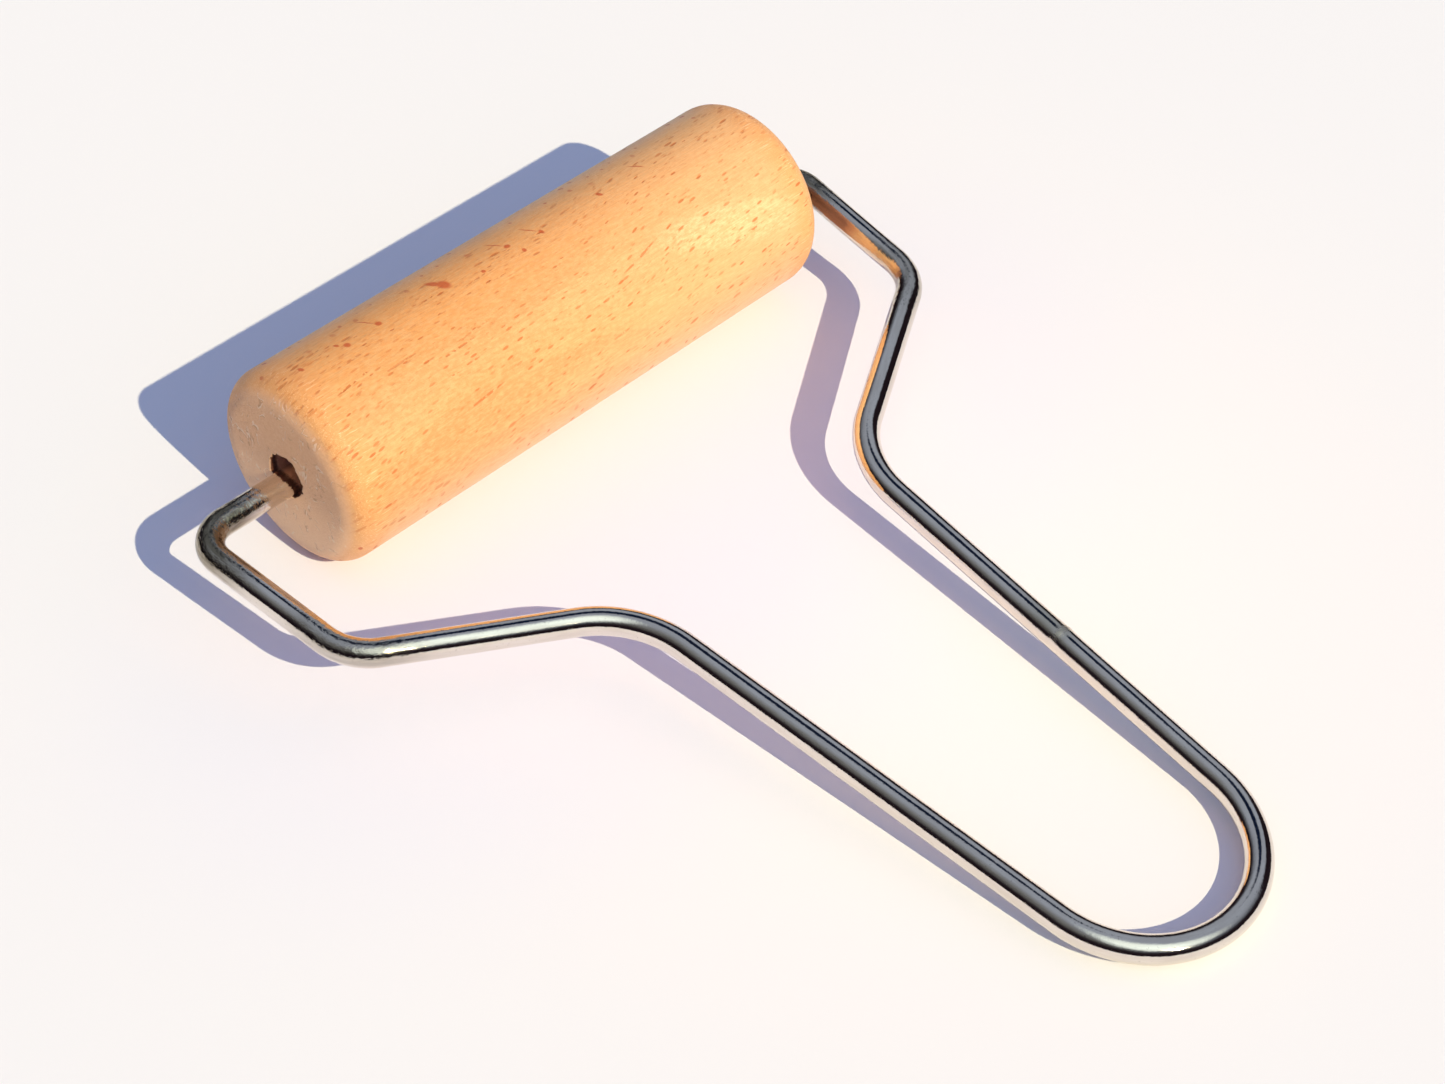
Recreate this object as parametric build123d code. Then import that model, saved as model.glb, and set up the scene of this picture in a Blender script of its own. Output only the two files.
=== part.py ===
from build123d import *
from math import acos, asin, atan2, cos, degrees, hypot, radians, sin
import os

# Wooden hand roller: a turned beech barrel that spins on a closed handle frame of bent steel wire.
#
# Millimetres, +Z up, standing on the plane z = 0 as it does on a table.  The roller's axis runs along X
# and the handle points along -Y.  The origin is the bottom centre of the whole tool's bounding box.
#
# Nodes: roller (the turned barrel, bored right through) and wire_frame (one closed loop of wire: the
# axle, two short arms, two sloping shoulders, two handle legs and the rounded end bend).

# ---- driving dimensions -------------------------------------------------------------------------
ROLLER_DIAMETER = 40.0
ROLLER_LENGTH = 124.0
ROLLER_END_ROUNDING = 5.2
BORE_DIAMETER = 8.8
BORE_EDGE_BREAK = 0.3
ROLLER_SHIFT = 5.5          # the roller floats on its axle and lies this far towards +X

WIRE_DIAMETER = 5.4
BORE_CONTACT_GAP = 0.05     # left between the wire and the bottom of the bore

# The frame's centre line in its own plane: half widths across, and reaches back from the axle.
AXLE_HALF_WIDTH = 78.2      # axle corner
ARM_HALF_WIDTH = 74.8       # corner between arm and shoulder
ARM_REACH = 38.2
LEG_HALF_WIDTH = 29.1       # corner between shoulder and handle leg
LEG_REACH = 64.2
FRAME_REACH = 178.2         # centre line of the end bend, at its furthest
AXLE_BEND = 6.3             # centre-line bend radii
ARM_BEND = 11.2
LEG_BEND = 21.7
END_BEND = 22.1

WELD_REACH = 118.8          # butt weld that closes the loop, on the +X leg
WELD_WIDTH = 1.8
WELD_HEIGHT = 0.14          # how far the weld stands above the wire

# ---- derived ------------------------------------------------------------------------------------
ROLLER_RADIUS = ROLLER_DIAMETER / 2
BORE_RADIUS = BORE_DIAMETER / 2
WIRE_RADIUS = WIRE_DIAMETER / 2

AXLE_DROP = BORE_RADIUS - WIRE_RADIUS - BORE_CONTACT_GAP
AXLE_HEIGHT = ROLLER_RADIUS - AXLE_DROP
SLOPE = degrees(asin((AXLE_HEIGHT - WIRE_RADIUS) / FRAME_REACH))

FRAME_BACK = FRAME_REACH * cos(radians(SLOPE)) + WIRE_RADIUS
ROLLER_Y = (FRAME_BACK - ROLLER_RADIUS) / 2     # puts the bounding box's middle at y = 0

END_CENTRE = Vector(0, END_BEND - FRAME_REACH)
LEG_CORNER = Vector(LEG_HALF_WIDTH, -LEG_REACH)


def end_bend_angle():
    """Angle, seen from the end bend's centre, at which the leg runs into the bend."""
    reach = LEG_CORNER - END_CENTRE
    bearing = degrees(atan2(reach.Y, reach.X))
    return bearing - degrees(acos(END_BEND / hypot(reach.X, reach.Y)))


def bend_point(angle):
    """Point of the end bend's centre line at an angle from its centre."""
    return END_CENTRE + Vector(cos(radians(angle)), sin(radians(angle))) * END_BEND


def frame_plane():
    """The frame's own plane: x along the axle, y back over the roller, sloping down to the handle's end."""
    tilt = radians(SLOPE)
    return Plane(
        origin=(0, ROLLER_Y, AXLE_HEIGHT),
        x_dir=(1, 0, 0),
        z_dir=(0, -sin(tilt), cos(tilt)),
    )


def half_centre_line():
    """Centre line of the +X half, from the middle of the axle to the middle of the end bend."""
    leg_angle = end_bend_angle()
    corners = FilletPolyline(
        (0, 0),
        (AXLE_HALF_WIDTH, 0),
        (ARM_HALF_WIDTH, -ARM_REACH),
        LEG_CORNER,
        bend_point(leg_angle),
        radius=[AXLE_BEND, ARM_BEND, LEG_BEND],
    )
    end = CenterArc(END_CENTRE, END_BEND, leg_angle, -90 - leg_angle)
    return Wire(corners.edges() + end.edges())


def weld():
    """Low band that the butt weld leaves round the +X leg."""
    leg_end = bend_point(end_bend_angle())
    share = (WELD_REACH - LEG_REACH) / (-leg_end.Y - LEG_REACH)
    centre = LEG_CORNER + (leg_end - LEG_CORNER) * share
    band = Plane(origin=centre, z_dir=leg_end - LEG_CORNER) * Cylinder(
        WIRE_RADIUS + WELD_HEIGHT, WELD_WIDTH
    )
    return fillet(band.edges().filter_by(GeomType.CIRCLE), WELD_HEIGHT)


def make_wire_frame():
    """The whole wire loop, lying in the frame's plane."""
    centre_line = half_centre_line()
    section = Plane(origin=(0, 0, 0), z_dir=(1, 0, 0)) * Circle(WIRE_RADIUS)
    half = sweep(sections=section, path=centre_line)
    loop = half + mirror(half, about=Plane.YZ) + weld()
    return frame_plane() * loop


def make_roller():
    """The turned barrel, bored right through along X."""
    barrel = Cylinder(ROLLER_RADIUS, ROLLER_LENGTH)
    barrel = fillet(barrel.edges().filter_by(GeomType.CIRCLE), ROLLER_END_ROUNDING)
    barrel -= Cylinder(BORE_RADIUS, ROLLER_LENGTH)
    rims = barrel.edges().filter_by(GeomType.CIRCLE).group_by(SortBy.RADIUS)[0]
    barrel = chamfer(rims, BORE_EDGE_BREAK)
    return Pos(ROLLER_SHIFT, ROLLER_Y, ROLLER_RADIUS) * Rot(0, 90, 0) * barrel


def main():
    os.makedirs("parts", exist_ok=True)
    export_step(make_roller(), "parts/roller.step")
    export_step(make_wire_frame(), "parts/wire_frame.step")


main()
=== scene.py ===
import math
from types import SimpleNamespace

import bpy
import numpy as np
from mathutils import Matrix, Vector, noise


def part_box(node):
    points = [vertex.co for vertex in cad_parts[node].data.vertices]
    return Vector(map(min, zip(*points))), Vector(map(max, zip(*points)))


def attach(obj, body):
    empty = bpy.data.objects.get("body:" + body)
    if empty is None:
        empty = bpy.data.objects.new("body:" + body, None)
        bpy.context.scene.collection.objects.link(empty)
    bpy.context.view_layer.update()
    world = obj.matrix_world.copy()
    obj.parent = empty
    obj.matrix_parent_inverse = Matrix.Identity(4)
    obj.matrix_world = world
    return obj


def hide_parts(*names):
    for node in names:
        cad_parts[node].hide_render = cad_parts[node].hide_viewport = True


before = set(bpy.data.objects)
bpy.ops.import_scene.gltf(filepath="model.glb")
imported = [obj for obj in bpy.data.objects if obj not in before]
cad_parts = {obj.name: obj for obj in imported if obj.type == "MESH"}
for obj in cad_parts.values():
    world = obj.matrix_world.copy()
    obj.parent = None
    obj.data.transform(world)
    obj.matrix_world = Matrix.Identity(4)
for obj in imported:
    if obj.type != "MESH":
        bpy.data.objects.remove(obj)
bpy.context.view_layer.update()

# Looks of a wooden hand roller: a lacquered beech barrel that turns on a closed loop of bright-plated wire.
#
# Places are in metres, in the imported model's frame: +X along the roller's axis, the handle towards -Y,
# +Z up, and the surface it stands on at z = 0. Both CAD nodes are replaced by finer meshes of the same
# size, which add what making and use leave: the torn edge of the bore, the weld, and the dents in the
# wire's tight bends.

MM = 0.001
ROLLER_LOW, ROLLER_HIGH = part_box("roller")

# ---- the barrel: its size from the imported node's box ---------------------------------------------
BARREL_CENTRE = (ROLLER_LOW + ROLLER_HIGH) / 2
BARREL_RADIUS = (ROLLER_HIGH.z - ROLLER_LOW.z) / 2
BARREL_HALF = (ROLLER_HIGH.x - ROLLER_LOW.x) / 2
BARREL_ROUNDING = 5.2 * MM
BORE_RADIUS = 4.4 * MM
BORE_LIP = 0.12 * MM                  # how far the end face stops short of the bore's wall
SKIN_WAVE = 0.05 * MM                 # how far the turned skin waves inwards at most
TEAR_SIZE = 0.75 * MM                 # how far the bore's edge is broken out
TEAR_ACROSS = 3.0 * MM                # how far the tearing spreads over the end face,
TEAR_INTO = 2.4 * MM                  # and into the bore
# The bore's mouth has a dark rim of painted shade down to these depths; deeper, its wall is painted lighter
# for light that doesn't reach in.
RIM_SHADE_DEPTHS = (1.0 * MM, 2.0 * MM)       # the rim's dark colour ends between these depths in the bore
MOUTH_DEPTHS = (0.15 * MM, 3.0 * MM)  # fine rings lie between these depths,
BORE_FROM = 5.0 * MM                  # and coarse ones from here on
END_GRAIN_FROM = 0.72                 # the sine of the rounding's turn where end grain starts to show
SHOULDER_REACH = 1.9                  # the worn shoulder starts this far from the end, in roundings
BARREL_SIDES = 288
SIDE_RINGS, ROUNDING_RINGS, END_RINGS, MOUTH_RINGS, BORE_RINGS = 46, 15, 26, 8, 12

# ---- the wire's centre line: half widths across and reaches back from the axle -------------------
WIRE_RADIUS = 2.7 * MM
WIRE_INSET = 0.012 * MM               # how far the mesh stays inside the wire's true radius
AXLE_BELOW_AXIS = 1.65 * MM
AXLE_CORNER = Vector((78.2, 0)) * MM
ARM_CORNER = Vector((74.8, 38.2)) * MM
LEG_CORNER = Vector((29.1, 64.2)) * MM
FRAME_REACH = 178.2 * MM
AXLE_BEND, ARM_BEND, LEG_BEND, END_BEND = 6.3 * MM, 11.2 * MM, 21.7 * MM, 22.1 * MM
WELD_REACH = 118.8 * MM
WELD_HALF_WIDTH = 0.9 * MM
WELD_HEIGHT = 0.17 * MM
STAIN_BEFORE_WELD, STAIN_HALF_WIDTH = 3 * MM, 6 * MM
DENT_DEPTH = 0.07 * MM
DENTS_BEYOND = 60 * MM                # dents lie only further out than this, round the axle's bends
WORKED_AT_AXLE = (7 * MM, 19 * MM)    # distances from the axle's corner: fully worked, and untouched
WORKED_AT_ARM = (6 * MM, 16 * MM)     # the same from the arm's corner,
ARM_SHARE = 0.45                      # but only this strongly
WIRE_STEP = 0.7 * MM
WIRE_SIDES = 56
AXLE_HEIGHT = BARREL_CENTRE.z - AXLE_BELOW_AXIS
FRAME_SLOPE = math.asin((AXLE_HEIGHT - WIRE_RADIUS) / FRAME_REACH)

# ---- camera, in degrees and metres ---------------------------------------------------------------
CAMERA_AZIMUTH = -48.5
CAMERA_ELEVATION = 45.4
CAMERA_ROLL = 3.54
CAMERA_LENS = 73.6                    # millimetres, on a sensor 36 wide
CAMERA_DISTANCE = 561 * MM
CAMERA_AIM = Vector((4.1, 26.4, 0)) * MM

# ---- light and floor -----------------------------------------------------------------------------
SUN_TRAVEL = Vector((0.10, 1.19, -1.0))
SUN_COLOUR, SUN_STRENGTH = (1.0, 0.89, 0.60), 4.25
SUN_WIDTH = 0.55                      # degrees: how soft the shadow edges are
FILL_LIGHT = (0.28, 0.35, 0.565, 1)   # cool light that reaches the shade from all round
BOUNCE_PLACE = Vector((22, -2, 85)) * MM
BOUNCE_COLOUR, BOUNCE_WATTS = (1.0, 0.46, 0.16), 0.075
BOUNCE_SIZE = 35 * MM
BACKDROP = (0.915, 0.90, 0.90, 1)
FLOOR_HALF = 3.0
FLOOR_TONE = (0.822, 0.815, 0.832, 1.0)
# Beside the barrel the floor is painted cooler, which offsets the warm glow and the wood's bounce there and
# makes the barrel's shadow bluer.
FLOOR_PAINTED_COOLER = (0.745, 0.75, 0.865, 1.0)
FLOOR_TONE_CENTRE = (0.0, 45 * MM, 0.0)

# What only mirrors see: a dim room with one bright pane over the handle.
PANE = (1.15, 1.32, 1.28, 1)
CEILING_LEFT, CEILING_RIGHT = (0.165, 0.172, 0.175, 1), (0.325, 0.375, 0.465, 1)
DARK_WALL = (0.014, 0.009, 0.013, 1)
LAMP_SHADE = (0.006, 0.012, 0.035, 1)


def rgb(red, green, blue):
    """A colour given as it looks on screen, 0 to 255, as linear light."""
    def linear(channel):
        c = channel / 255
        return c / 12.92 if c <= 0.04045 else ((c + 0.055) / 1.055) ** 2.4
    return (linear(red), linear(green), linear(blue), 1.0)


# ---- the wood's figure and colours ---------------------------------------------------------------
PITH = Vector((0, 31, -34))           # the tree's heart, in millimetres from the barrel's axis
GRAIN_LEAN = 0.065                    # how far the grain runs off the barrel's axis, per millimetre along
GRAIN_CURVE = 0.0004                  # and how that grows towards the far end, per millimetre squared
RING_WIDTH = 3.1                      # of the growth rings, in millimetres
# The painted warm light on the barrel's top is centred here: the wood is coloured warmer where the top lies
# in shade.
PAINTED_WARM_TOP_AT = 62                      # degrees round from +Y over the top

# Marks on the skin: millimetres along from the middle, degrees round from +Y over the top, half width
# along, half length round, and tilt in degrees. The flecks are large rays cut broadside near the top.
FLECKS = (
    (-20.2, 82, 1.35, 1.9, 10), (-21.3, 77, 0.80, 1.9, 30), (-36.2, 82, 0.80, 0.9, 0),
    (-37.6, 75, 0.18, 2.4, 27), (-44.2, 84, 0.75, 0.9, 16), (-45.8, 80, 0.45, 0.8, 22),
    (-54.5, 82, 0.60, 0.8, 0), (-12.4, 89, 0.50, 0.6, 10), (-4.0, 82, 0.75, 0.8, 0),
    (-5.4, 75, 0.17, 2.2, 30), (-2.6, 91, 0.50, 0.7, 0), (3.6, 86, 0.60, 0.9, 5),
    (2.2, 79, 0.17, 2.2, 27), (19.5, 84, 0.50, 1.0, 16), (31.0, 80, 0.20, 2.0, 32),
)
# A painted highlight of the lacquer's sheen, given like the marks above: along, round, half width, half
# length, tilt.
PAINTED_SHEEN_PATCH = (39.0, 142, 21.0, 5.0, -15)

# Four of these colours are painted light: the warm top, the paler underside lit by the floor, the lacquer's
# sheen patch and the glints on the worn shoulder.
SIDE = SimpleNamespace(
    darker_zone=rgb(204, 154, 96), paler_zone=rgb(211, 166, 110), late_wood=rgb(190, 134, 80),
    painted_warm_top=rgb(246, 168, 94), mottle=rgb(240, 206, 152), far_half=rgb(236, 198, 150),
    painted_sheen=rgb(242, 220, 170), painted_floor_bounce=rgb(255, 208, 170), fibre=rgb(184, 126, 72),
    shoulder=rgb(232, 160, 98), painted_glints=rgb(255, 226, 184), specks=rgb(200, 118, 58),
    fine=rgb(206, 118, 56), rows=rgb(192, 108, 52), dashes=rgb(194, 110, 52), flecks=rgb(196, 88, 40),
)
# Several of these paint light and shade: low for floor light on the lower end face, far for the far end's
# warm shade, the nicks' lit and shaded sides, the dark rim of shade at the bore's mouth, and the bore's
# wall made lighter where little light reaches.
END = SimpleNamespace(
    dark=rgb(226, 162, 116), light=rgb(255, 210, 166), low=rgb(255, 216, 180),
    nick_light=rgb(255, 230, 206), nick_shade=rgb(180, 118, 82), far=rgb(240, 142, 84),
    painted_rim_shade=rgb(104, 60, 44), bore_dark=rgb(214, 140, 106), bore_light=rgb(244, 180, 144),
)
PLATING = SimpleNamespace(
    warm=rgb(222, 213, 203), clean=rgb(234, 226, 217), pit=rgb(120, 108, 96), tarnish=rgb(108, 98, 74),
    stain=rgb(176, 166, 134), weld=rgb(232, 226, 204),
)


# ---- mesh helpers --------------------------------------------------------------------------------
def mesh_piece(name, points, faces, material):
    """A smooth-shaded mesh object made from points and faces."""
    mesh = bpy.data.meshes.new(name)
    mesh.from_pydata([tuple(p) for p in points], [], faces)
    mesh.validate()
    mesh.polygons.foreach_set("use_smooth", [True] * len(mesh.polygons))
    mesh.materials.append(material)
    piece = bpy.data.objects.new(name, mesh)
    bpy.context.scene.collection.objects.link(piece)
    return piece


def give_attribute(piece, name, kind, values):
    """Writes one value per point as a named attribute, for the materials to read."""
    layer = piece.data.attributes.new(name, kind, "POINT")
    field = "vector" if kind == "FLOAT_VECTOR" else "value"
    layer.data.foreach_set(field, np.asarray(values, np.float32).ravel())


def tube_faces(rings, sides):
    """Quads between successive rings of points, the last ring joined to the first."""
    faces = []
    for i in range(rings):
        a, b = i * sides, (i + 1) % rings * sides
        for j in range(sides):
            k = (j + 1) % sides
            faces.append((a + j, a + k, b + k, b + j))
    return faces


def smooth(low, high, value):
    """0 at low, 1 at high, a smooth rise between, and level beyond. High may be the smaller one."""
    t = min(max((value - low) / (high - low), 0.0), 1.0)
    return t * t * (3 - 2 * t)


def bell(value, half_width):
    """1 at zero, falling away smoothly on both sides."""
    return math.exp(-((value / half_width) ** 2))


# ---- node helpers --------------------------------------------------------------------------------
class Nodes:
    """Short ways to add and link shader nodes in one material or world."""

    def __init__(self, owner):
        owner.use_nodes = True
        self.tree = owner.node_tree
        self.tree.nodes.clear()

    def add(self, kind, inputs=None, **settings):
        node = self.tree.nodes.new(kind)
        for key, value in settings.items():
            setattr(node, key, value)
        for key, value in (inputs or {}).items():
            self.put(node.inputs[key], value)
        return node

    def put(self, socket, value):
        if isinstance(value, bpy.types.NodeSocket):
            self.tree.links.new(value, socket)
        else:
            socket.default_value = value

    def math(self, operation, *values, clamp=False):
        node = self.add("ShaderNodeMath", operation=operation, use_clamp=clamp)
        for socket, value in zip(node.inputs, values):
            self.put(socket, value)
        return node.outputs[0]

    def times(self, first, second):
        return self.math("MULTIPLY", first, second)

    def vector(self, operation, *values):
        node = self.add("ShaderNodeVectorMath", operation=operation)
        for socket, value in zip(node.inputs, values):
            self.put(socket, value)
        return node.outputs["Value" if operation in ("DOT_PRODUCT", "LENGTH") else "Vector"]

    def scaled(self, vector, x, y, z):
        return self.vector("MULTIPLY", vector, (x, y, z))

    def split(self, vector):
        return self.add("ShaderNodeSeparateXYZ", {0: vector}).outputs

    def join(self, x, y, z=0.0):
        return self.add("ShaderNodeCombineXYZ", {"X": x, "Y": y, "Z": z}).outputs[0]

    def place(self):
        return self.add("ShaderNodeTexCoord").outputs["Object"]

    def ramp(self, value, low, high, out_low=0.0, out_high=1.0):
        node = self.add("ShaderNodeMapRange", interpolation_type="SMOOTHSTEP")
        sockets = ("Value", "From Min", "From Max", "To Min", "To Max")
        for name, item in zip(sockets, (value, low, high, out_low, out_high)):
            self.put(node.inputs[name], item)
        return node.outputs["Result"]

    def mix(self, share, first, second):
        node = self.add("ShaderNodeMix", data_type="RGBA")
        self.put(node.inputs["Factor"], share)
        self.put(node.inputs["A"], first)
        self.put(node.inputs["B"], second)
        return node.outputs["Result"]

    def noise(self, vector, scale, detail, roughness=0.5, distortion=0.0):
        inputs = {"Vector": vector, "Scale": scale, "Detail": detail, "Roughness": roughness,
                  "Distortion": distortion}
        return self.add("ShaderNodeTexNoise", inputs).outputs["Fac"]

    def sway(self, vector, scale, detail, amounts):
        """An offset that wanders up to half of each amount either way."""
        inputs = {"Vector": vector, "Scale": scale, "Detail": detail}
        colour = self.add("ShaderNodeTexNoise", inputs).outputs["Color"]
        return self.scaled(self.vector("SUBTRACT", colour, (0.5, 0.5, 0.5)), *amounts)

    def attribute(self, name, output="Fac"):
        return self.add("ShaderNodeAttribute", attribute_name=name).outputs[output]

    def bump(self, height, distance, normal=None):
        inputs = {"Height": height, "Distance": distance, "Strength": 1.0}
        if normal is not None:
            inputs["Normal"] = normal
        return self.add("ShaderNodeBump", inputs).outputs["Normal"]

    def surface(self, **inputs):
        """A principled surface. An input's name has _ for each space."""
        named = {name.replace("_", " "): value for name, value in inputs.items()}
        shader = self.add("ShaderNodeBsdfPrincipled", named)
        self.add("ShaderNodeOutputMaterial", {"Surface": shader.outputs[0]})


# ---- beech: coordinates --------------------------------------------------------------------------
def log_coordinates(n):
    """Millimetres from the barrel's middle, and in the log: across the rays, outwards, along the grain."""
    place = n.vector("SUBTRACT", n.place(), tuple(BARREL_CENTRE))
    place = n.scaled(place, 1 / MM, 1 / MM, 1 / MM)
    bend = n.sway(place, 0.018, 1.0, (0.0, 9.0, 9.0))
    x = n.split(place)[0]
    lean = n.times(x, n.math("MULTIPLY_ADD", x, GRAIN_CURVE, GRAIN_LEAN))
    local = n.vector("SUBTRACT", n.vector("ADD", place, bend), n.join(0.0, lean, lean))
    along, y, z = n.split(n.vector("SUBTRACT", local, tuple(PITH)))
    outwards = n.math("SQRT", n.math("ADD", n.times(y, y), n.times(z, z)))
    around = n.times(n.math("ARCTAN2", y, z), PITH.length)
    return place, around, outwards, along


def skin_coordinates(n, place):
    """Millimetres along the barrel and round its skin from +Y over the top, waved a little."""
    x, y, z = n.split(place)
    round_mm = n.times(n.math("ARCTAN2", z, y), BARREL_RADIUS / MM)
    return n.vector("ADD", n.join(x, round_mm), n.sway(place, 0.42, 3.0, (0.7, 0.7, 0.0)))


def turn_from(n, skin, angle):
    """The cosine of the turn round the barrel from an angle, in radians, to a place on its skin."""
    turn = n.math("DIVIDE", n.split(skin)[1], BARREL_RADIUS / MM)
    return n.math("COSINE", n.math("SUBTRACT", turn, angle))


def wood_fields(n):
    """Everything that the beech's colour, gloss and relief are worked out from."""
    w = SimpleNamespace()
    w.place, w.around, w.outwards, w.along = log_coordinates(n)
    w.skin = skin_coordinates(n, w.place)
    w.height = n.split(w.place)[2]
    w.end_face = n.attribute("end_face")
    w.rounding = n.attribute("rounding")
    w.bore = n.attribute("bore")
    w.unlacquered = n.math("MAXIMUM", w.end_face, w.bore)
    w.side_only = n.math("SUBTRACT", 1.0, w.end_face)
    w.shoulder = n.times(w.rounding, w.side_only)
    w.fibre = n.noise(n.scaled(w.place, 0.22, 5.0, 5.0), 1.0, 4.0, 0.65)
    w.mottle = n.noise(n.scaled(w.place, 0.7, 1.5, 1.5), 1.0, 4.0, 0.65)
    w.grain = n.noise(n.scaled(w.place, 0.8, 1.6, 1.6), 1.3, 5.0, 0.7)
    return w


# ---- beech: marks --------------------------------------------------------------------------------
def fleck(n, skin, along, degrees, half_wide, half_long, tilt):
    """1 inside one tilted oval on the skin, 0 outside."""
    middle = (along, math.radians(degrees) * BARREL_RADIUS / MM, 0.0)
    turned = n.add("ShaderNodeVectorRotate", {
        "Vector": n.vector("SUBTRACT", skin, middle), "Angle": math.radians(tilt),
    }, rotation_type="Z_AXIS").outputs[0]
    reach = n.vector("LENGTH", n.vector("DIVIDE", turned, (half_wide, half_long, 1.0)))
    return n.ramp(reach, 0.55, 1.1, 1.0, 0.0)


def cell_marks(n, spot, share, smallest, spread, core, dimensions):
    """A mark in a share of the cells of a random pattern, and a random number for each cell."""
    cells = n.add("ShaderNodeTexVoronoi", {"Vector": spot, "Scale": 1.0, "Randomness": 1.0},
                  voronoi_dimensions=dimensions).outputs
    chance = n.add("ShaderNodeSeparateColor", {0: cells["Color"]}).outputs
    present = n.ramp(chance[0], 1 - share - 0.04, 1 - share + 0.04)
    reach = n.math("MULTIPLY_ADD", chance[1], spread, smallest)
    inside = n.ramp(n.math("DIVIDE", cells["Distance"], reach), core, 1.0, 1.0, 0.0)
    return n.times(inside, present), chance[2]


def rays(n, w, across, long, deep, share, size):
    """Small flat rays: thin across, short along the grain and deep outwards, in millimetres."""
    spot = n.join(
        n.math("DIVIDE", w.around, across),
        n.math("DIVIDE", w.outwards, deep),
        n.math("DIVIDE", w.along, long),
    )
    marks, chance = cell_marks(n, spot, share, size * 0.5, size * 0.7, 0.6, "3D")
    return n.times(marks, n.math("MULTIPLY_ADD", chance, 0.6, 0.4))


def quarter_face(n, skin):
    """1 where the skin runs nearly square to the growth rings, 0 where it runs along them."""
    heart = math.atan2(PITH.z, PITH.y)
    return n.ramp(n.math("ABSOLUTE", turn_from(n, skin, heart)), 0.3, 0.62, 1.0, 0.0)


def small_rays(n, w):
    """Ray marks, mostly on the flat-sawn faces: specks, fine ones near the -X end, rows and bold dashes."""
    flat_sawn = n.math("MULTIPLY_ADD", quarter_face(n, w.skin), -0.85, 1.0)
    near_end = n.ramp(w.along, -54.0, -34.0, 1.0, 0.0)
    patches = n.ramp(n.noise(w.place, 0.8, 2.0), 0.46, 0.52)
    specks = rays(n, w, across=0.46, long=2.6, deep=9.0, share=0.55, size=0.34)
    fine = rays(n, w, across=0.55, long=3.4, deep=8.0, share=0.78, size=0.38)
    rows = rays(n, w, across=0.85, long=24.0, deep=14.0, share=0.4, size=0.25)
    dashes = rays(n, w, across=0.66, long=3.2, deep=12.0, share=0.45, size=0.37)
    kinds = (specks, n.times(fine, near_end), n.times(rows, patches), dashes)
    return [n.times(kind, flat_sawn) for kind in kinds]


def broad_flecks(n, w):
    """Ray flecks that lie across the grain on the quarter faces, and the large ones listed above."""
    x, y, _ = n.split(w.skin)
    spot = n.join(n.math("DIVIDE", x, 3.1), n.math("DIVIDE", y, 5.2))
    marks, _ = cell_marks(n, spot, 0.46, 0.08, 0.16, 0.5, "2D")
    flecks = n.times(n.times(marks, quarter_face(n, w.skin)), w.side_only)
    for place_and_shape in FLECKS:
        flecks = n.math("MAXIMUM", flecks, fleck(n, w.skin, *place_and_shape))
    return flecks


def nicks(n, place):
    """Short curved nicks on the sawn ends: the pale side and the shaded side of each."""
    waves = n.noise(n.scaled(place, 0.3, 0.26, 0.18), 1.0, 2.0, 0.6, 1.0)
    sparse = n.ramp(n.noise(place, 0.45, 2.0), 0.50, 0.62)
    sides = []
    for level in (0.5, 0.535):
        away = n.math("ABSOLUTE", n.math("SUBTRACT", waves, level))
        sides.append(n.times(n.ramp(away, 0.008, 0.024, 1.0, 0.0), sparse))
    return sides


# ---- beech: colour, gloss and relief -------------------------------------------------------------
def plain_side_colour(n, w):
    """The side's wood before its marks: zones, growth rings and a paler far half, with painted light: a
    warm top, a sheen patch and a paler underside lit by the floor.
    """
    stretched = n.scaled(w.place, 0.12, 1.0, 1.0)
    ring_count = n.math("DIVIDE", w.outwards, RING_WIDTH)
    ring = n.math("FRACT", n.math("MULTIPLY_ADD", n.noise(stretched, 0.05, 2.0), 2.4, ring_count))
    ring = n.times(n.ramp(ring, 0.1, 0.85), n.ramp(ring, 0.9, 1.0, 1.0, 0.0))
    zones = n.ramp(n.noise(stretched, 0.09, 3.0, 0.55), 0.35, 0.68)
    # Painted light: the shaded top is coloured warmer, standing in for warm light falling on it.
    painted_warm_top = n.ramp(turn_from(n, w.skin, math.radians(PAINTED_WARM_TOP_AT)), 0.45, 0.95)
    # Painted highlight: the lacquer's sheen near the far end, drawn as a paler streaky patch.
    pale = n.times(fleck(n, w.skin, *PAINTED_SHEEN_PATCH), n.ramp(w.mottle, 0.38, 0.62, 0.1, 0.45))

    colour = n.mix(zones, SIDE.darker_zone, SIDE.paler_zone)
    colour = n.mix(n.times(ring, 0.3), colour, SIDE.late_wood)
    colour = n.mix(n.times(painted_warm_top, 0.8), colour, SIDE.painted_warm_top)
    colour = n.mix(n.ramp(w.mottle, 0.38, 0.66), colour, n.mix(0.26, colour, SIDE.mottle))
    colour = n.mix(n.ramp(w.along, -25.0, 55.0, 0.0, 0.4), colour, SIDE.far_half)
    colour = n.mix(pale, colour, SIDE.painted_sheen)
    # Painted light: the lower side is coloured paler and pinker, standing in for light bounced up from the
    # floor.
    return n.mix(n.ramp(w.height, -18.0, 4.0, 0.85, 0.0), colour, SIDE.painted_floor_bounce)


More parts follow.
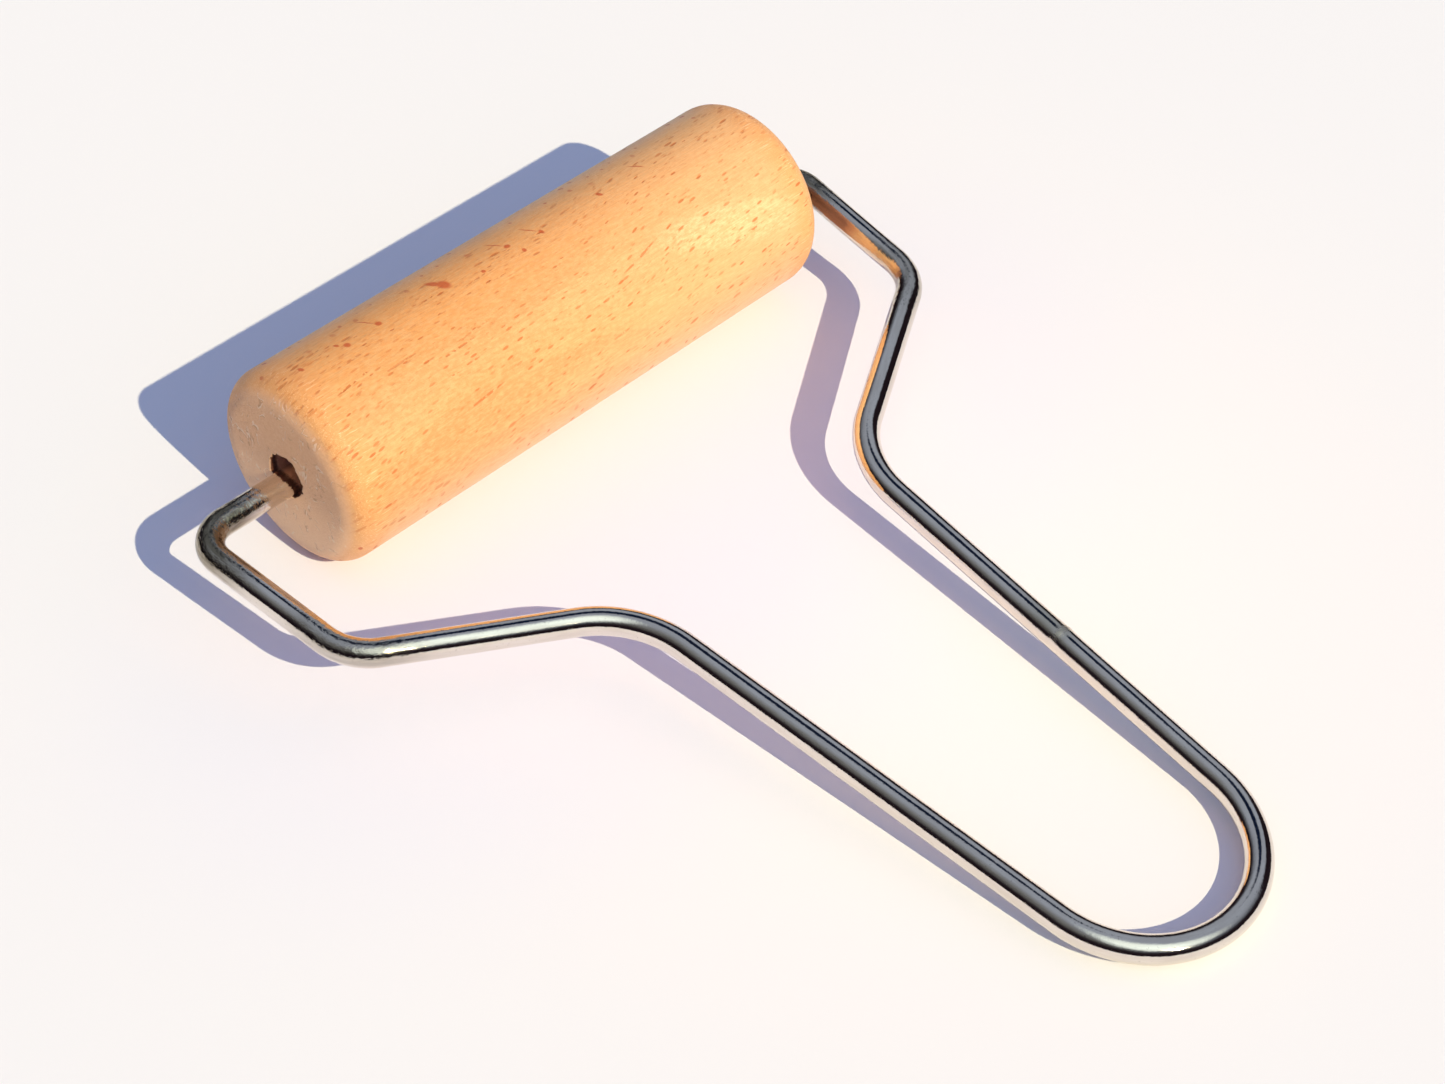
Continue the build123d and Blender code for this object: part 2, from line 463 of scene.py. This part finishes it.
def side_colour(n, w, specks, fine, rows, dashes):
    """The turned side with its fibres, worn shoulder with painted glints, and ray marks."""
    # Painted highlight: pale glints where the worn shoulder's fibres stand up.
    painted_glints = n.times(w.shoulder, n.ramp(w.fibre, 0.56, 0.66, 0.0, 0.5))
    colour = plain_side_colour(n, w)
    colour = n.mix(n.ramp(w.fibre, 0.3, 0.7, 0.36, 0.0), colour, SIDE.fibre)
    colour = n.mix(n.times(w.rounding, 0.5), colour, SIDE.shoulder)
    colour = n.mix(painted_glints, colour, SIDE.painted_glints)
    colour = n.mix(n.times(specks, 0.6), colour, SIDE.specks)
    colour = n.mix(n.times(fine, 0.7), colour, SIDE.fine)
    colour = n.mix(n.times(rows, 0.9), colour, SIDE.rows)
    colour = n.mix(n.times(dashes, 0.95), colour, SIDE.dashes)
    return n.mix(n.times(broad_flecks(n, w), 0.85), colour, SIDE.flecks)


def end_colour(n, w):
    """The sawn end grain, painted paler low down for floor light, with small nicks drawn as a painted lit
    side and a painted shaded side. The far end is more orange, as painted warm shade.
    """
    pale_side, shaded_side = nicks(n, w.place)
    colour = n.mix(w.grain, END.dark, END.light)
    # Painted light: the end grain is paler low down, standing in for light bounced up from the floor.
    colour = n.mix(n.ramp(w.height, -15.0, 8.0, 0.7, 0.0), colour, END.low)
    colour = n.mix(n.times(pale_side, 0.6), colour, END.nick_light)
    colour = n.mix(n.times(shaded_side, 0.4), colour, END.nick_shade)
    # Painted shade: the far end is coloured more orange, standing in for its deep, warmly bounce-lit shade.
    return n.mix(n.times(n.ramp(w.along, 0.0, 8.0), 0.75), colour, END.far)


def bore_colour(n, w):
    """The raw bore: a dark rim of painted shade at its mouth, and a wall painted lighter deeper in for
    light that doesn't reach there.
    """
    wall = n.mix(w.grain, END.bore_dark, END.bore_light)
    return n.mix(n.ramp(w.bore, 0.5, 1.0), END.painted_rim_shade, wall)


def beech_relief(n, w, sunken):
    """Orange peel in the lacquer, raised fibres, sunken ray marks and the ends' saw scratches."""
    scratches = n.noise(n.scaled(w.place, 1.0, 0.9, 3.6), 1.1, 5.0, 0.7)
    normal = n.bump(n.noise(w.place, 1.5, 4.0, 0.65), 0.13 * MM)
    normal = n.bump(n.times(w.fibre, w.shoulder), 0.1 * MM, normal)
    normal = n.bump(n.math("SUBTRACT", 0.0, sunken), 0.05 * MM, normal)
    normal = n.bump(w.fibre, 0.035 * MM, normal)
    return n.bump(n.times(scratches, w.unlacquered), 0.5 * MM, normal)


def beech():
    """Turned beech under clear satin lacquer, with duller end grain and a raw bore whose mouth is painted
    dark as shade and whose deeper wall is painted lighter as light.
    """
    material = bpy.data.materials.new("beech")
    n = Nodes(material)
    w = wood_fields(n)
    specks, fine, rows, dashes = small_rays(n, w)

    colour = n.mix(w.end_face, side_colour(n, w, specks, fine, rows, dashes), end_colour(n, w))
    colour = n.mix(n.ramp(w.bore, 0.0, 0.5), colour, bore_colour(n, w))

    lacquer = n.noise(w.place, 0.22, 4.0, 0.6)
    rough = n.math("ADD", n.ramp(lacquer, 0.3, 0.75, 0.46, 0.6), n.times(w.unlacquered, 0.28), clamp=True)
    coat = n.times(w.side_only, n.ramp(lacquer, 0.25, 0.7, 0.14, 0.3))
    coat = n.times(coat, n.math("MULTIPLY_ADD", w.rounding, -0.6, 1.0))
    normal = beech_relief(n, w, n.math("ADD", dashes, rows))
    n.surface(Base_Color=colour, Roughness=rough, Normal=normal, Coat_Weight=coat,
              Coat_Roughness=0.34, Specular_IOR_Level=0.3)
    return material


# ---- bright-plated wire --------------------------------------------------------------------------
def bright_wire():
    """Bright plating over drawn wire: fine lines along it, bending marks, and a small stained weld."""
    material = bpy.data.materials.new("bright_plated_wire")
    n = Nodes(material)
    place = n.attribute("unrolled", "Vector")
    weld, stain = n.attribute("weld"), n.attribute("stain")
    worked, tarnish = n.attribute("worked"), n.attribute("tarnish")

    drawn = n.noise(n.scaled(place, 0.05, 5.5, 5.5), 1.0, 3.0, 0.6)
    haze = n.noise(n.scaled(place, 0.12, 0.8, 0.8), 1.0, 4.0, 0.6)
    pits = n.noise(n.scaled(place, 2.2, 2.4, 2.4), 1.0, 3.0, 0.7)
    dimple = n.noise(n.scaled(place, 0.9, 1.1, 1.1), 1.0, 2.0, 0.5)
    holes = n.times(n.ramp(pits, 0.62, 0.70), n.ramp(haze, 0.42, 0.62))

    tone = n.mix(n.ramp(haze, 0.3, 0.7), PLATING.warm, PLATING.clean)
    tone = n.mix(n.times(holes, 0.55), tone, PLATING.pit)
    tone = n.mix(n.times(tarnish, n.ramp(haze, 0.4, 0.6, 0.85, 0.6)), tone, PLATING.tarnish)
    tone = n.mix(n.times(stain, 0.4), tone, PLATING.stain)
    tone = n.mix(n.times(weld, n.ramp(pits, 0.42, 0.58, 0.0, 0.8)), tone, PLATING.weld)

    rough = n.math("ADD", n.ramp(haze, 0.35, 0.8, 0.035, 0.09), n.times(weld, 0.32))
    rough = n.math("ADD", rough, n.times(worked, n.ramp(pits, 0.4, 0.7, 0.0, 0.2)))

    normal = n.bump(drawn, 0.006 * MM)
    normal = n.bump(dimple, 0.018 * MM, normal)
    normal = n.bump(n.times(dimple, worked), 0.16 * MM, normal)
    normal = n.bump(n.times(pits, n.math("MULTIPLY_ADD", worked, 0.8, 0.2)), 0.05 * MM, normal)
    normal = n.bump(n.times(pits, weld), 0.1 * MM, normal)
    n.surface(Base_Color=tone, Metallic=1.0, Roughness=rough, Normal=normal)
    return material


# ---- barrel --------------------------------------------------------------------------------------
def barrel_profile():
    """Closed outline of the barrel's wall as (x, radius, end_face, rounding, bore), x from the middle."""
    half, turn = BARREL_HALF, BARREL_ROUNDING
    flat_end = BARREL_RADIUS - turn
    side = []
    for x in np.linspace(0, half - turn, SIDE_RINGS, endpoint=False):
        worn = smooth(half - SHOULDER_REACH * turn, half - turn, x)
        side.append((x, BARREL_RADIUS, 0.0, worn, 0.0))
    for angle in np.linspace(0, math.pi / 2, ROUNDING_RINGS):
        x, r = half - turn + turn * math.sin(angle), flat_end + turn * math.cos(angle)
        side.append((x, r, smooth(END_GRAIN_FROM, 1.0, math.sin(angle)), 1.0, 0.0))
    for r in np.linspace(flat_end, BORE_RADIUS + BORE_LIP, END_RINGS)[1:]:
        side.append((half, r, 1.0, 0.0, 0.0))
    mouth = np.linspace(*MOUTH_DEPTHS, MOUTH_RINGS)
    inside = np.linspace(BORE_FROM, half, BORE_RINGS)
    for depth in np.concatenate([mouth, inside]):
        # 0.5 in the rim of painted shade at the mouth, 1 in the wall painted lighter beyond it.
        raw = 0.5 + 0.5 * smooth(*RIM_SHADE_DEPTHS, depth)
        side.append((half - depth, BORE_RADIUS, 1.0, 0.0, raw))
    mirrored = [(-x, r, e, o, b) for x, r, e, o, b in reversed(side[1:-1])]
    return side + mirrored


def torn_edge(x, radius, angle):
    """How far the drilled bore's edge is broken out, at a place near a mouth. 0 away from it."""
    near_lip = smooth(TEAR_ACROSS, 0.0, radius - BORE_RADIUS)
    near_mouth = smooth(TEAR_INTO, 0.0, BARREL_HALF - abs(x))
    spot = Vector((math.copysign(3.0, x), math.cos(angle) * 1.6, math.sin(angle) * 1.6))
    chips = max(noise.noise(spot * 1.7) * 0.8 + noise.noise(spot * 4.1) * 0.9, -0.06)
    return chips * TEAR_SIZE * near_lip * near_mouth


def skin_wave(x, angle):
    """How far the turned skin waves inwards at a place."""
    spot = Vector((x * 45, math.cos(angle) * 0.9, math.sin(angle) * 0.9))
    return (0.5 + 0.5 * noise.noise(spot)) * SKIN_WAVE


def make_barrel(material):
    """The turned barrel as one closed skin: outside, ends and bore."""
    profile = barrel_profile()
    points, ends, rounds, bores = [], [], [], []
    for x, radius, end_face, rounding, bore in profile:
        for angle in np.linspace(0, 2 * math.pi, BARREL_SIDES, endpoint=False):
            r = radius + torn_edge(x, radius, angle) - skin_wave(x, angle) * (1 - end_face)
            points.append(BARREL_CENTRE + Vector((x, r * math.cos(angle), r * math.sin(angle))))
            ends.append(end_face)
            rounds.append(rounding)
            bores.append(bore)
    faces = [face[::-1] for face in tube_faces(len(profile), BARREL_SIDES)]
    piece = mesh_piece("turned_barrel", points, faces, material)
    give_attribute(piece, "end_face", "FLOAT", ends)
    give_attribute(piece, "rounding", "FLOAT", rounds)
    give_attribute(piece, "bore", "FLOAT", bores)
    return piece


# ---- wire loop -----------------------------------------------------------------------------------
def arc_points(centre, radius, start, sweep):
    """Points along an arc in the frame's plane, its start left out."""
    count = max(8, int(abs(sweep) * radius / WIRE_STEP))
    angles = start + sweep * np.arange(1, count + 1) / count
    return [centre + Vector((math.cos(a), math.sin(a))) * radius for a in angles]


def line_points(start, end):
    """Points along a straight run, its start left out."""
    count = max(2, int((end - start).length / WIRE_STEP))
    return [start.lerp(end, i / count) for i in range(1, count + 1)]


def bend_points(before, corner, after, radius):
    """The rounded corner: where the straight run ends, and the points round the bend."""
    a, b = (before - corner).normalized(), (after - corner).normalized()
    half = a.angle(b) / 2
    start, end = corner + a * radius / math.tan(half), corner + b * radius / math.tan(half)
    centre = corner + (a + b).normalized() * radius / math.sin(half)
    first = math.atan2(start.y - centre.y, start.x - centre.x)
    last = math.atan2(end.y - centre.y, end.x - centre.x)
    sweep = (last - first + math.pi) % (2 * math.pi) - math.pi
    return start, arc_points(centre, radius, first, sweep)


def half_centre_line():
    """The +X half from the middle of the axle to the middle of the end bend, as (across, back)."""
    end_centre = Vector((0, FRAME_REACH - END_BEND))
    reach = LEG_CORNER - end_centre
    leg_angle = math.atan2(reach.y, reach.x) + math.acos(END_BEND / reach.length)
    leg_end = end_centre + Vector((math.cos(leg_angle), math.sin(leg_angle))) * END_BEND
    corners = [Vector((0, 0)), AXLE_CORNER, ARM_CORNER, LEG_CORNER, leg_end]
    line = [corners[0]]
    for i, radius in enumerate((AXLE_BEND, ARM_BEND, LEG_BEND), 1):
        start, bend = bend_points(corners[i - 1], corners[i], corners[i + 1], radius)
        line += line_points(line[-1], start) + bend
    line += line_points(line[-1], leg_end)
    return line + arc_points(end_centre, END_BEND, leg_angle, math.pi / 2 - leg_angle)


def off_frame_plane(point, above):
    """The place of a point in the frame's sloping plane, (across, back), and a height off that plane."""
    return Vector((
        point.x,
        BARREL_CENTRE.y - point.y * math.cos(FRAME_SLOPE) - above * math.sin(FRAME_SLOPE),
        AXLE_HEIGHT - point.y * math.sin(FRAME_SLOPE) + above * math.cos(FRAME_SLOPE),
    ))


def bend_wear(point):
    """How strongly the wire is worked at a place: 1 at the tight axle bends, less at the arms' bends."""
    mirrored = Vector((abs(point.x), point.y))
    at_axle = 1.0 - smooth(*WORKED_AT_AXLE, (mirrored - AXLE_CORNER).length)
    at_arm = 1.0 - smooth(*WORKED_AT_ARM, (mirrored - ARM_CORNER).length)
    return max(at_axle, ARM_SHARE * at_arm)


def make_wire(material):
    """The whole loop as one closed tube, with a welded bump on one leg and dents outside the axle bends."""
    half = half_centre_line()
    line = half + [Vector((-p.x, p.y)) for p in reversed(half[1:-1])]
    points, unrolled, welds, stains, worn, tarnished = [], [], [], [], [], []
    travelled = 0.0
    for i, point in enumerate(line):
        before, after = line[i - 1], line[(i + 1) % len(line)]
        tangent = (after - before).normalized()
        outward = Vector((tangent.y, -tangent.x))
        travelled += (point - before).length if i else 0.0
        wear = bend_wear(point)
        from_weld = point.y - WELD_REACH if point.x > 0 else 1.0
        weld_here = bell(from_weld, WELD_HALF_WIDTH)
        stain_here = bell(from_weld + STAIN_BEFORE_WELD, STAIN_HALF_WIDTH)
        for j in range(WIRE_SIDES):
            angle = 2 * math.pi * j / WIRE_SIDES
            side, up = math.cos(angle), math.sin(angle)
            top = smooth(0.3, 0.95, up)
            spot = Vector((travelled, side * WIRE_RADIUS, up * WIRE_RADIUS)) / MM
            bump = WELD_HEIGHT * weld_here * (0.6 + 0.9 * noise.noise(spot * 1.1)) * top
            outer = max(side, 0.0) if abs(point.x) > DENTS_BEYOND else 0.0
            dent = wear * DENT_DEPTH * (0.5 + 0.5 * noise.noise(spot * 0.9)) * outer
            r = WIRE_RADIUS - WIRE_INSET + bump - dent
            points.append(off_frame_plane(point + outward * side * r, up * r))
            unrolled.append(spot)
            welds.append(weld_here * top)
            stains.append(stain_here * top)
            worn.append(wear)
            tarnished.append(wear * smooth(-0.35, 0.05, up))
    piece = mesh_piece("wire_loop", points, tube_faces(len(line), WIRE_SIDES), material)
    give_attribute(piece, "unrolled", "FLOAT_VECTOR", unrolled)
    give_attribute(piece, "weld", "FLOAT", welds)
    give_attribute(piece, "stain", "FLOAT", stains)
    give_attribute(piece, "worked", "FLOAT", worn)
    give_attribute(piece, "tarnish", "FLOAT", tarnished)
    return piece


# ---- floor, light and camera ---------------------------------------------------------------------
def make_floor():
    """A plain pale sheet that the roller stands on, painted a little bluer beside the barrel to offset the
    warm light there.
    """
    material = bpy.data.materials.new("pale_floor")
    n = Nodes(material)
    place = n.place()
    offset = n.scaled(n.vector("SUBTRACT", place, FLOOR_TONE_CENTRE), 0.6, 1.0, 0.0)
    # Painted: the floor is cooler beside the barrel to offset the warm light that falls there.
    painted_cooler_share = n.ramp(n.vector("LENGTH", offset), 20 * MM, 90 * MM, 1.0, 0.0)
    tone = n.mix(painted_cooler_share, FLOOR_TONE, FLOOR_PAINTED_COOLER)
    normal = n.bump(n.noise(place, 900.0, 3.0, 0.6), 0.02 * MM)
    n.surface(Base_Color=tone, Roughness=0.9, Specular_IOR_Level=0.15, Normal=normal)
    size = FLOOR_HALF
    corners = [(-size, -size, 0), (size, -size, 0), (size, size, 0), (-size, size, 0)]
    mesh_piece("floor", corners, [(0, 1, 2, 3)], material)


def toward(n, way, direction, full, edge):
    """1 within the full angle of a direction, 0 beyond the edge angle, in degrees."""
    facing = n.vector("DOT_PRODUCT", way, tuple(Vector(direction).normalized()))
    return n.ramp(facing, math.cos(math.radians(edge)), math.cos(math.radians(full)))


def mirrored_room(n):
    """What mirrors see: dark walls and a cupboard, a grey ceiling, a bright pane and a lamp shade."""
    way = n.add("ShaderNodeTexCoord").outputs["Generated"]
    across, _, height = n.split(way)
    opening = toward(n, way, (0.85, 0.42, 0.35), 18, 42)
    walls = n.ramp(height, 0.33, n.math("MULTIPLY_ADD", opening, -0.28, 0.84), 1.0, 0.0)
    cupboard = toward(n, way, (0.92, -0.22, 0.40), 14, 20)
    shade = toward(n, way, (0.36, 0.30, 0.885), 9, 13)
    pane = n.times(toward(n, way, (-0.05, -0.56, 0.83), 9, 36), n.ramp(height, 0.50, 0.66))
    room = n.mix(n.ramp(across, -0.75, -0.1), CEILING_LEFT, CEILING_RIGHT)
    room = n.mix(pane, room, PANE)
    room = n.mix(n.math("MAXIMUM", walls, cupboard), room, DARK_WALL)
    return n.mix(shade, room, LAMP_SHADE)


def make_world():
    """A plain backdrop for the camera, the room for mirrors, and an even cool fill for the rest."""
    world = bpy.data.worlds.new("studio")
    bpy.context.scene.world = world
    n = Nodes(world)
    mirrored, fill, backdrop = (
        n.add("ShaderNodeBackground", {"Color": colour, "Strength": 1.0}).outputs[0]
        for colour in (mirrored_room(n), FILL_LIGHT, BACKDROP)
    )
    path = n.add("ShaderNodeLightPath").outputs
    light = n.add("ShaderNodeMixShader", {0: path["Is Glossy Ray"], 1: fill, 2: mirrored}).outputs[0]
    seen = n.add("ShaderNodeMixShader", {0: path["Is Camera Ray"], 1: light, 2: backdrop}).outputs[0]
    n.add("ShaderNodeOutputWorld", {"Surface": seen})


def make_key():
    """One warm key light that shines from beyond the handle's end towards the barrel."""
    key = bpy.data.lights.new("key", "SUN")
    key.energy = SUN_STRENGTH
    key.color = SUN_COLOUR
    key.angle = math.radians(SUN_WIDTH)
    lamp = bpy.data.objects.new("key", key)
    lamp.rotation_mode = "QUATERNION"
    lamp.rotation_quaternion = SUN_TRAVEL.to_track_quat("-Z", "Y")
    bpy.context.scene.collection.objects.link(lamp)


def make_bounce():
    """A faint rosy glow over the handle, which mirrors don't see: it warms the wire's own shadows."""
    glow = bpy.data.lights.new("bounce", "POINT")
    glow.energy = BOUNCE_WATTS
    glow.color = BOUNCE_COLOUR
    glow.shadow_soft_size = BOUNCE_SIZE
    lamp = bpy.data.objects.new("bounce", glow)
    lamp.location = BOUNCE_PLACE
    lamp.visible_glossy = False
    lamp.visible_camera = False
    bpy.context.scene.collection.objects.link(lamp)


def make_camera():
    """A long-lens view from above, on the -X side of the handle."""
    turn, rise = math.radians(CAMERA_AZIMUTH), math.radians(CAMERA_ELEVATION)
    back = Vector((
        math.sin(turn) * math.cos(rise),
        -math.cos(turn) * math.cos(rise),
        math.sin(rise),
    ))
    right = Vector((0, 0, 1)).cross(back).normalized()
    level = Matrix((right, back.cross(right), back)).transposed().to_4x4()
    roll = Matrix.Rotation(math.radians(CAMERA_ROLL), 4, "Z")
    data = bpy.data.cameras.new("camera")
    data.lens = CAMERA_LENS
    data.sensor_width = 36.0
    data.clip_start, data.clip_end = 0.01, 20.0
    camera = bpy.data.objects.new("camera", data)
    camera.matrix_world = Matrix.Translation(CAMERA_AIM + back * CAMERA_DISTANCE) @ level @ roll
    bpy.context.scene.collection.objects.link(camera)
    bpy.context.scene.camera = camera


# ---- build ---------------------------------------------------------------------------------------
make_camera()
make_key()
make_bounce()
make_world()
make_floor()

barrel = make_barrel(beech())
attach(barrel, "roller")
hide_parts("roller")

wire = make_wire(bright_wire())
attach(wire, "wire_frame")
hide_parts("wire_frame")

bpy.context.scene.view_settings.view_transform = "Standard"
